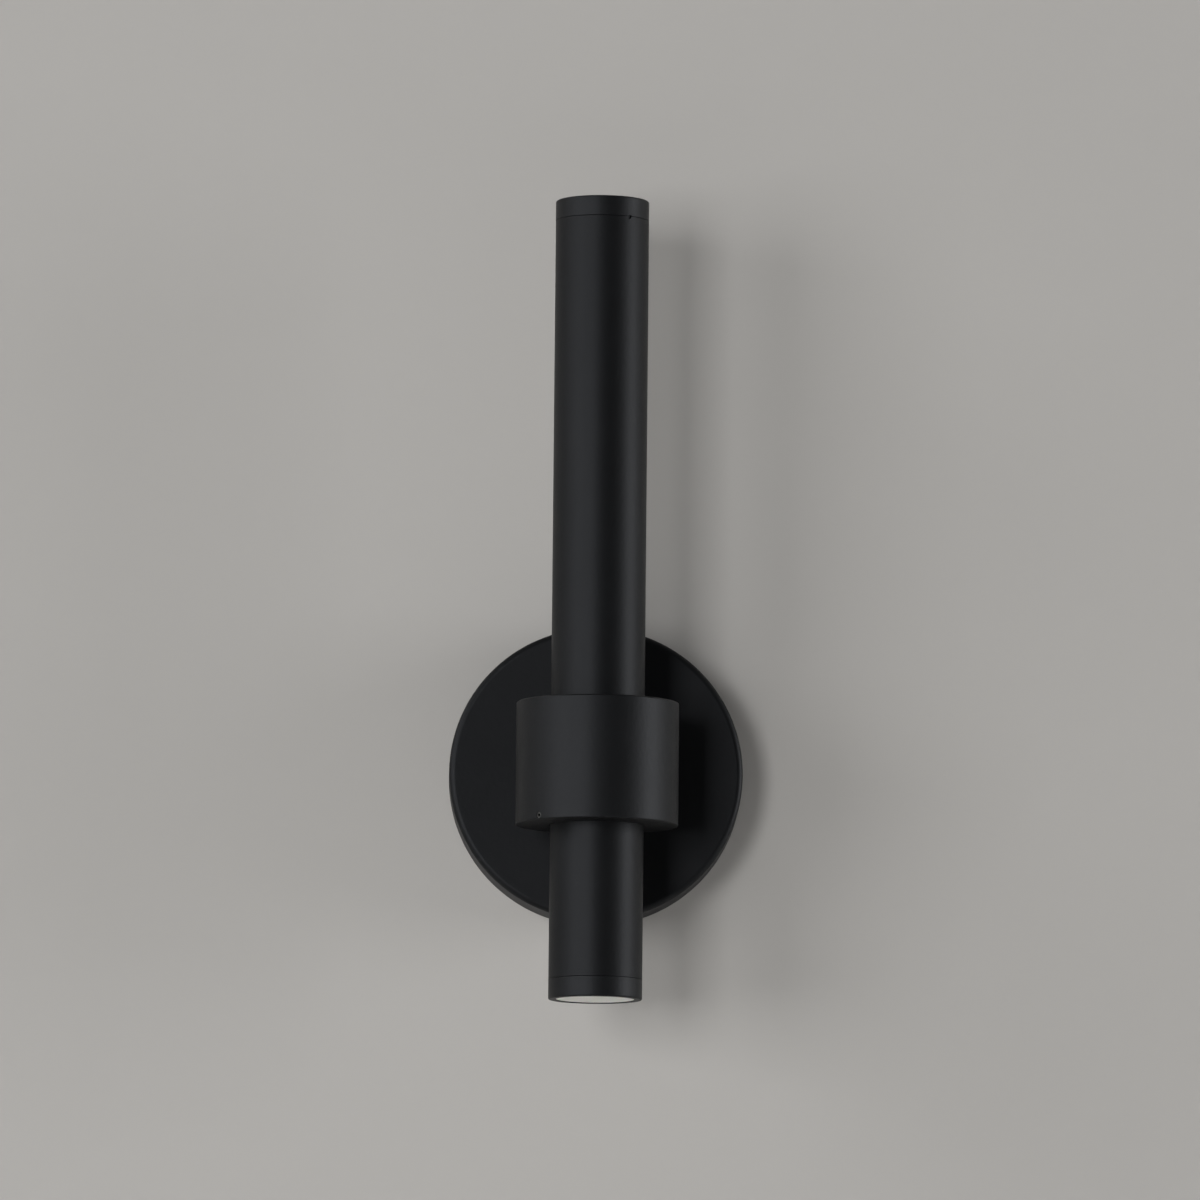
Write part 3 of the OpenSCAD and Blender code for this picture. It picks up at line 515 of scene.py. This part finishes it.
@dataclass
class Paints:
    """Every finish of the light, made once."""

    coat: bpy.types.Material = field(default_factory=PowderCoat().make)
    tube_coat: bpy.types.Material = field(default_factory=PowderCoat(
        "satin_black_tube_coat", turned_radius=19.0 * MM).make)
    collar_coat: bpy.types.Material = field(default_factory=PowderCoat(
        "satin_black_collar_coat", gloss=0.266, turned_radius=33.0 * MM).make)
    ring_coat: bpy.types.Material = field(default_factory=PowderCoat(
        "satin_black_ring_coat", gloss=0.266, turned_radius=19.0 * MM).make)
    rubber: bpy.types.Material = field(default_factory=Rubber().make)
    zinc: bpy.types.Material = field(default_factory=PlatedSteel(
        "bright_zinc_plate", (0.56, 0.57, 0.59), 0.34).make)
    black_steel: bpy.types.Material = field(default_factory=PlatedSteel(
        "black_oxide_steel", (0.045, 0.046, 0.05), 0.38).make)
    grub_steel: bpy.types.Material = field(default_factory=PlatedSteel(
        "plain_grub_steel", (0.095, 0.096, 0.094), 0.40).make)
    green_steel: bpy.types.Material = field(default_factory=PlatedSteel(
        "green_zinc_plate", (0.07, 0.27, 0.12), 0.36).make)
    brass: bpy.types.Material = field(default_factory=TurnedBrass().make)
    nylon: bpy.types.Material = field(default_factory=Moulding(
        "white_nylon", (0.72, 0.71, 0.67), 0.45, inner_glow=0.15).make)
    lens: bpy.types.Material = field(default_factory=Moulding(
        "frosted_lens", (0.83, 0.835, 0.79), 0.5, inner_glow=0.2, unevenness=0.012).make)
    cup: bpy.types.Material = field(default_factory=Aluminium(
        "bright_spun_cup", (0.85, 0.86, 0.87), 0.16, (0.05, 0.05, 1.0)).make)
    sink: bpy.types.Material = field(default_factory=Aluminium(
        "raw_extruded_aluminium", (0.62, 0.63, 0.65), 0.38).make)
    white_board: bpy.types.Material = field(default_factory=Moulding(
        "white_board_mask", (0.80, 0.80, 0.78), 0.3).make)
    glow_layer: bpy.types.Material = field(default_factory=Moulding(
        "yellow_glow_layer", (0.78, 0.56, 0.06), 0.28, inner_glow=0.3).make)
    pad: bpy.types.Material = field(default_factory=Moulding(
        "grey_thermal_pad", (0.16, 0.18, 0.20), 0.65).make)
    case: bpy.types.Material = field(default_factory=Moulding(
        "grey_case_paint", (0.045, 0.048, 0.053), 0.42).make)
    green_board: bpy.types.Material = field(default_factory=Moulding(
        "green_board_mask", (0.015, 0.09, 0.035), 0.28).make)
    white_sleeve: bpy.types.Material = field(default_factory=BraidedSleeve(
        "white_braided_sleeve", (0.62, 0.61, 0.57)).make)
    red_sleeve: bpy.types.Material = field(default_factory=BraidedSleeve(
        "red_braided_sleeve", (0.30, 0.018, 0.014), 6).make)


# Shapes that scene pieces are made with.


def dress(material: bpy.types.Material, *nodes: str) -> None:
    """Gives CAD nodes their material.

    Args:
        material: The finish.
        nodes: The nodes' names.
    """
    for node in nodes:
        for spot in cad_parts[node].material_slots:
            spot.material = material


def add_piece(name: str, mesh: bmesh.types.BMesh, material: bpy.types.Material) -> bpy.types.Object:
    """Turns a finished bmesh into an object at the origin.

    Args:
        name: The piece's name.
        mesh: The bmesh, which is freed.
        material: The finish.

    Returns:
        The new object.
    """
    data = bpy.data.meshes.new(name)
    mesh.to_mesh(data)
    mesh.free()
    data.materials.append(material)
    piece = bpy.data.objects.new(name, data)
    bpy.context.scene.collection.objects.link(piece)
    return piece


def turned(outline: list[tuple[float, float]], sides: int) -> bmesh.types.BMesh:
    """Turns a closed outline round Z.

    Args:
        outline: The radius and height of each corner.
        sides: How many steps the full turn has.

    Returns:
        The closed solid.
    """
    mesh = bmesh.new()
    corners = [mesh.verts.new((radius, 0.0, height)) for radius, height in outline]
    for first, second in zip(corners, corners[1:] + corners[:1]):
        mesh.edges.new((first, second))
    bmesh.ops.spin(mesh, geom=mesh.verts[:] + mesh.edges[:], axis=(0.0, 0.0, 1.0),
                   angle=math.tau, steps=sides, use_merge=True)
    bmesh.ops.remove_doubles(mesh, verts=mesh.verts, dist=MERGE)
    bmesh.ops.recalc_face_normals(mesh, faces=mesh.faces)
    return mesh


@dataclass(frozen=True)
class Thread:
    """A thread's ridge that winds round Z."""

    root: float
    crest: float
    pitch: float
    start: float
    end: float
    sides: int = 40
    flank_share: float = 0.42

    def wind(self, mesh: bmesh.types.BMesh) -> None:
        """Adds the closed ridge to a mesh, and lets both its ends run out.

        Args:
            mesh: The mesh that gets the ridge.
        """
        flank = self.flank_share * self.pitch
        turns = (self.end - self.start) / self.pitch
        steps = round(turns * self.sides)
        outline = ((self.root, -flank), (self.crest, 0.0), (self.root, flank))
        corners = [mesh.verts.new((radius, 0.0, self.start + rise)) for radius, rise in outline]
        face = mesh.faces.new(corners)
        before = set(mesh.verts) - set(corners)
        bmesh.ops.spin(mesh, geom=[*corners, *face.edges, face], axis=(0.0, 0.0, 1.0),
                       dvec=(0.0, 0.0, (self.end - self.start) / steps),
                       angle=math.tau * turns, steps=steps)
        middle = (self.root + self.crest) / 2
        for vert in set(mesh.verts) - before:
            reach = math.hypot(vert.co.x, vert.co.y)
            if reach > middle:
                left = min(vert.co.z - self.start, self.end - vert.co.z)
                share = min(max(left / (self.pitch / 2), 0.0), 1.0)
                wanted = self.root + (self.crest - self.root) * share
                vert.co.x *= wanted / reach
                vert.co.y *= wanted / reach
        bmesh.ops.recalc_face_normals(mesh, faces=mesh.faces)


@dataclass(frozen=True)
class Sleeve:
    """A braided sleeve with its leads, laid along a smooth route given in millimetres."""

    node: str
    slot: str
    diameter: float
    route: tuple
    first_side: tuple
    sides: int = 16
    steps: int = 6

    def path(self) -> list[Vector]:
        """Puts points on a smooth curve, straight at its first and last step.

        Returns:
            The points in metres.
        """
        stops = [Vector(stop) * MM for stop in self.route]
        inner = stops[1:-1]
        points = [stops[0]]
        last = len(inner) - 1
        for number in range(last):
            a, b = inner[max(number - 1, 0)], inner[number]
            c, d = inner[number + 1], inner[min(number + 2, last)]
            for step in range(self.steps):
                t = step / self.steps
                points.append(0.5 * (2 * b + (c - a) * t + (2 * a - 5 * b + 4 * c - d) * t ** 2
                                     + (3 * b - a - 3 * c + d) * t ** 3))
        return [*points, inner[-1], stops[-1]]

    def frames(self, points: list[Vector]) -> list[Matrix]:
        """Finds the place and turn of the sleeve's round section at each point.

        Args:
            points: The points of the route.

        Returns:
            One matrix a point, with Z along the route and no twist.
        """
        side = Vector(self.first_side)
        frames = []
        for number, point in enumerate(points):
            ahead = points[min(number + 1, len(points) - 1)] - points[max(number - 1, 0)]
            ahead.normalize()
            side = (side - ahead * side.dot(ahead)).normalized()
            turn = Matrix((side, ahead.cross(side), ahead)).transposed().to_4x4()
            frames.append(Matrix.Translation(point) @ turn)
        return frames

    def build(self, material: bpy.types.Material) -> None:
        """Draws the round section along the route and dresses it.

        Args:
            material: The braid's finish.
        """
        points = self.path()
        frames = self.frames(points)
        mesh = bmesh.new()
        along = mesh.verts.layers.float.new("along")
        around = mesh.verts.layers.int.new("around")
        start = bmesh.ops.create_circle(mesh, cap_ends=True, segments=self.sides,
                                        radius=self.diameter / 2, matrix=frames[0])
        for number, vert in enumerate(start["verts"]):
            vert[around] = number
        face = mesh.faces[:][0]
        reach = 0.0
        for number in range(1, len(frames)):
            reach += (points[number] - points[number - 1]).length
            grown = bmesh.ops.extrude_face_region(mesh, geom=[face])["geom"]
            verts = [item for item in grown if isinstance(item, bmesh.types.BMVert)]
            face = next(item for item in grown if isinstance(item, bmesh.types.BMFace)
                        and len(item.verts) == self.sides)
            bmesh.ops.transform(mesh, verts=verts,
                                matrix=frames[number] @ frames[number - 1].inverted())
            for vert in verts:
                vert[along] = reach
        bmesh.ops.recalc_face_normals(mesh, faces=mesh.faces)
        self.unroll(mesh, along, around)
        piece = add_piece(f"{self.node}_sleeve", mesh, material)
        piece.data.shade_smooth()
        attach(piece, BODY)
        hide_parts(self.node)
        LOG.info("%s laid", self.node)

    def unroll(self, mesh: bmesh.types.BMesh, along: bmesh.types.BMLayerItem,
               around: bmesh.types.BMLayerItem) -> None:
        """Writes the UV map: once round across, metres along the other way.

        Args:
            mesh: The finished sleeve.
            along: The layer that holds each point's distance from the start.
            around: The layer that holds each point's number on its round section.
        """
        chart = mesh.loops.layers.uv.new("sleeve")
        for face in mesh.faces:
            closes = {0, self.sides - 1} <= {vert[around] for vert in face.verts}
            for loop in face.loops:
                number = loop.vert[around]
                if closes and number == 0:
                    number = self.sides
                loop[chart].uv = (number / self.sides, loop.vert[along])


# Sub-assemblies of the light.


@dataclass
class Canopy:
    """Round cover on the wall with its gasket and side screws."""

    def build(self, paints: Paints) -> None:
        """Dresses the cover, its rubber and its two screws."""
        dress(paints.coat, "canopy")
        dress(paints.rubber, "wall_gasket", "stem_gasket")
        dress(paints.black_steel, "canopy_side_screws")


@dataclass
class Fixing:
    """Crossbar, nipple and terminals behind the canopy's face."""

    bore: float = 3.5 * MM
    pitch: float = 1.0 * MM
    thread_depth: float = 0.5 * MM
    chamfer: float = 0.4 * MM
    buried: float = 0.02 * MM
    sides: int = 48

    def build(self, paints: Paints) -> None:
        """Dresses the pieces behind the face and cuts the nipple's thread."""
        self.nipple(paints)
        dress(paints.zinc, "crossbar", "steady_screw")
        dress(paints.green_steel, "ground_screw")
        dress(paints.black_steel, "nipple_washer")
        dress(paints.brass, "nipple_nut", "terminal_screws")
        dress(paints.nylon, "nipple_bushing", "terminal_block")

    def nipple(self, paints: Paints) -> None:
        """Makes the hollow nipple with the thread on its outside."""
        low, high = (Vector(corner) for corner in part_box("nipple"))
        crest = (high.x - low.x) / 2
        root = crest - self.thread_depth
        length = high.y - low.y
        edge, far = self.chamfer, length - self.chamfer
        mesh = turned([(self.bore, edge), (self.bore + edge, 0.0), (root - edge, 0.0), (root, edge),
                       (root, far), (root - edge, length), (self.bore + edge, length),
                       (self.bore, far)], self.sides)
        Thread(root - self.buried, crest, self.pitch, edge + self.pitch / 2,
               far - self.pitch / 2).wind(mesh)
        bmesh.ops.rotate(mesh, verts=mesh.verts, matrix=Matrix.Rotation(math.radians(90), 3, "X"))
        bmesh.ops.translate(mesh, verts=mesh.verts, vec=(0.0, high.y, 0.0))
        piece = add_piece("threaded_nipple", mesh, paints.zinc)
        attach(piece, BODY)
        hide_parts("nipple")
        LOG.info("threaded nipple cut")


@dataclass
class Column:
    """Collar, tube and what lies in the tube."""

    input_sleeve: Sleeve = Sleeve("input_leads", "white_sleeve", 4.0 * MM, (
        (20, -14.5, 0), (18.5, -14.5, 0), (12, -11.5, 0), (6, -9.5, 0), (1.76, -11.26, 0),
        (0, -15.5, 0), (0, -21.5, 0), (0, -29.5, 0), (0, -43.5, 0), (0, -52.5, 0),
        (0, -56.74, 1.76), (0, -58.5, 6), (0, -60.5, 29.2), (0, -62.5, 52.4),
        (0, -62.5, 56.9), (0, -62.5, 58.4)), (0, 0, 1))
    upper_sleeve: Sleeve = Sleeve("upper_leads", "red_sleeve", 2.4 * MM, (
        (4.5, -62.5, 154.4), (4.5, -62.5, 155.4), (6.75, -62.5, 157.4), (9, -62.5, 160.4),
        (9, -62.5, 202.9), (9, -62.5, 203.9)), (0, 1, 0))
    lower_sleeve: Sleeve = Sleeve("lower_leads", "red_sleeve", 2.4 * MM, (
        (6, -62.5, 58.4), (6, -62.5, 57.4), (6, -62.5, 46.4), (9, -62.5, 34.4), (9, -62.5, 0),
        (9, -62.5, -68.2), (9, -62.5, -69.2)), (0, 1, 0))

    def build(self, paints: Paints) -> None:
        """Dresses the collar, the tube, its screws and the driver, and lays the leads."""
        dress(paints.tube_coat, "tube")
        dress(paints.collar_coat, "collar")
        dress(paints.grub_steel, "tube_lock_screws")
        dress(paints.rubber, "tube_grommet")
        dress(paints.case, "driver_case", "driver_cover")
        dress(paints.green_board, "driver_board")
        dress(paints.nylon, "driver_rings")
        self.input_sleeve.build(paints.white_sleeve)
        self.upper_sleeve.build(paints.red_sleeve)
        self.lower_sleeve.build(paints.red_sleeve)


@dataclass
class TubeEnd:
    """Ring, lens and lamp parts at one end of the tube."""

    end: End
    spigot: float = 17.9 * MM
    crest_rise: float = 0.07 * MM
    buried: float = 0.05 * MM
    pitch: float = 1.0 * MM
    sides: int = 96

    def build(self, paints: Paints) -> None:
        """Dresses the end's pieces and winds the thread on the tube's spigot."""
        self.thread(paints)
        finishes = {
            "bezel": paints.ring_coat, "lens": paints.lens, "lens_gasket": paints.rubber,
            "reflector": paints.cup, "led_holder": paints.nylon, "led_screws": paints.zinc,
            "led_emitter": paints.glow_layer, "led_board": paints.white_board,
            "thermal_pad": paints.pad, "heat_sink": paints.sink,
        }
        for part, finish in finishes.items():
            dress(finish, f"{self.end.value}_{part}")

    def thread(self, paints: Paints) -> None:
        """Winds the fine thread that carries the ring, between shoulder and spigot end."""
        ring_low, ring_high = (Vector(corner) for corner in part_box(f"{self.end.value}_bezel"))
        tube_low, tube_high = (Vector(corner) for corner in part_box("tube"))
        if self.end is End.UPPER:
            near, far = ring_low.z, tube_high.z
        else:
            near, far = tube_low.z, ring_high.z
        mesh = bmesh.new()
        Thread(self.spigot - self.buried, self.spigot + self.crest_rise, self.pitch,
               near + self.pitch / 2, far - self.pitch / 2, self.sides).wind(mesh)
        axis_y = (ring_low.y + ring_high.y) / 2
        bmesh.ops.translate(mesh, verts=mesh.verts, vec=(0.0, axis_y, 0.0))
        piece = add_piece(f"{self.end.value}_spigot_thread", mesh, paints.coat)
        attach(piece, BODY)
        LOG.info("%s spigot thread wound", self.end.value)


# The set round the light, and the camera.


@dataclass
class SoftLamp:
    """One soft rectangular lamp that looks at the light's middle."""

    name: str
    azimuth: float
    elevation: float
    distance: float
    width: float
    height: float
    power: float
    aim: tuple = (0.0, -0.06, 0.06)

    def build(self) -> None:
        """Hangs the lamp."""
        way = towards(self.azimuth, self.elevation)
        data = bpy.data.lights.new(self.name, "AREA")
        data.shape = "RECTANGLE"
        data.size, data.size_y = self.width, self.height
        data.energy = self.power
        lamp = bpy.data.objects.new(self.name, data)
        lamp.location = Vector(self.aim) + way * self.distance
        lamp.rotation_euler = way.to_track_quat("Z", "Y").to_euler()
        lamp.visible_camera = False
        bpy.context.scene.collection.objects.link(lamp)


@dataclass
class Studio:
    """Wall, floor, room light and lamps."""

    wall_gap: float = 0.3 * MM
    wall_reach: float = 4.0
    wall_hole: float = 56.5 * MM
    wall_sides: int = 96
    floor_drop: float = 1.7
    wall_colour: tuple = (0.545, 0.531, 0.510)
    floor_colour: tuple = (0.62, 0.61, 0.60)
    room_dim: float = 0.05
    room_pale: float = 0.80
    room_fade: float = 0.05
    # Each lamp's name, azimuth, elevation, distance, width, height and power.
    lamps: tuple = (
        SoftLamp("key_near", -21.5, 0.5, 5.0, 1.2, 1.9, 74.0),
        SoftLamp("key_wide", -51, 1, 5.0, 1.9, 2.2, 65.0),
        SoftLamp("card_right", 82, 3, 4.0, 2.1, 2.0, 92.0),
        SoftLamp("soft_high", -77, 24, 5.0, 2.4, 2.2, 60.0),
        SoftLamp("fill_behind", 180, 10, 2.4, 2.2, 2.2, 26.0),
    )

    def build(self) -> None:
        """Builds the set."""
        self.wall()
        self.floor()
        self.room()
        for lamp in self.lamps:
            lamp.build()

    def wall(self) -> None:
        """Sets up the wall, with a hole where the outlet box would be."""
        mesh = bmesh.new()
        bmesh.ops.create_circle(mesh, segments=self.wall_sides, radius=self.wall_hole)
        bmesh.ops.create_circle(mesh, segments=self.wall_sides, radius=self.wall_reach)
        bmesh.ops.bridge_loops(mesh, edges=mesh.edges[:])
        bmesh.ops.rotate(mesh, verts=mesh.verts, matrix=Matrix.Rotation(math.radians(90), 3, "X"))
        bmesh.ops.translate(mesh, verts=mesh.verts, vec=(0.0, self.wall_gap, 0.0))
        for face in mesh.faces:
            face.normal_update()
            if face.normal.y > 0:
                face.normal_flip()
        wall = add_piece("wall", mesh, WallPaint("grey_wall_paint", self.wall_colour).make())

    def floor(self) -> None:
        """Lays the floor."""
        mesh = bmesh.new()
        bmesh.ops.create_grid(mesh, x_segments=1, y_segments=1, size=self.wall_reach)
        bmesh.ops.translate(mesh, verts=mesh.verts, vec=(0.0, 0.0, -self.floor_drop))
        floor = add_piece("floor", mesh, WallPaint("pale_floor", self.floor_colour).make())

    def room(self) -> None:
        """Gives the room its light: dim in front of the wall, pale behind it and to the camera."""
        world = bpy.data.worlds.new("room")
        bpy.context.scene.world = world
        world.use_nodes = True
        tree = world.node_tree
        tree.nodes.clear()
        out = tree.nodes.new("ShaderNodeOutputWorld")
        glow = tree.nodes.new("ShaderNodeBackground")
        place = tree.nodes.new("ShaderNodeTexCoord")
        split = tree.nodes.new("ShaderNodeSeparateXYZ")
        level = tree.nodes.new("ShaderNodeMapRange")
        path = tree.nodes.new("ShaderNodeLightPath")
        most = tree.nodes.new("ShaderNodeMath")
        most.operation = "MAXIMUM"
        scale = tree.nodes.new("ShaderNodeMapRange")
        level.inputs["From Max"].default_value = self.room_fade
        scale.inputs["To Min"].default_value = self.room_dim
        scale.inputs["To Max"].default_value = self.room_pale
        tree.links.new(place.outputs["Generated"], split.inputs["Vector"])
        tree.links.new(split.outputs["Y"], level.inputs["Value"])
        tree.links.new(level.outputs["Result"], most.inputs[0])
        tree.links.new(path.outputs["Is Camera Ray"], most.inputs[1])
        tree.links.new(most.outputs["Value"], scale.inputs["Value"])
        tree.links.new(scale.outputs["Result"], glow.inputs["Strength"])
        tree.links.new(glow.outputs["Background"], out.inputs["Surface"])


@dataclass
class PhotoCamera:
    """Camera at the photograph's place, a little below the light and far away."""

    azimuth: float = -0.756
    elevation: float = -6.959
    roll: float = 0.546
    distance: float = 5.0
    target: tuple = (1.294 * MM, 0.0, 74.695 * MM)
    focal_pixels: float = 12163.9
    frame_pixels: float = 1200.0
    sensor: float = 36.0

    def build(self) -> None:
        """Sets the camera up."""
        way = towards(self.azimuth, self.elevation)
        data = bpy.data.cameras.new("photo_camera")
        data.sensor_width = self.sensor
        data.lens = self.focal_pixels * self.sensor / self.frame_pixels
        camera = bpy.data.objects.new("photo_camera", data)
        camera.location = Vector(self.target) + way * self.distance
        look = way.to_track_quat("Z", "Y").to_matrix()
        camera.rotation_euler = (look @ Matrix.Rotation(math.radians(self.roll), 3, "Z")).to_euler()
        bpy.context.scene.collection.objects.link(camera)
        bpy.context.scene.camera = camera


def main() -> None:
    """Builds the camera, the light and the set."""
    logging.basicConfig(level=logging.INFO, format="%(message)s")
    PhotoCamera().build()
    LOG.info("camera set")
    paints = Paints()
    for part in (Canopy(), Fixing(), Column(), TubeEnd(End.UPPER), TubeEnd(End.LOWER)):
        part.build(paints)
        LOG.info("%s dressed", type(part).__name__)
    Studio().build()
    LOG.info("studio set")
    bpy.context.scene.view_settings.view_transform = "Standard"


if __name__ == "__main__":
    main()
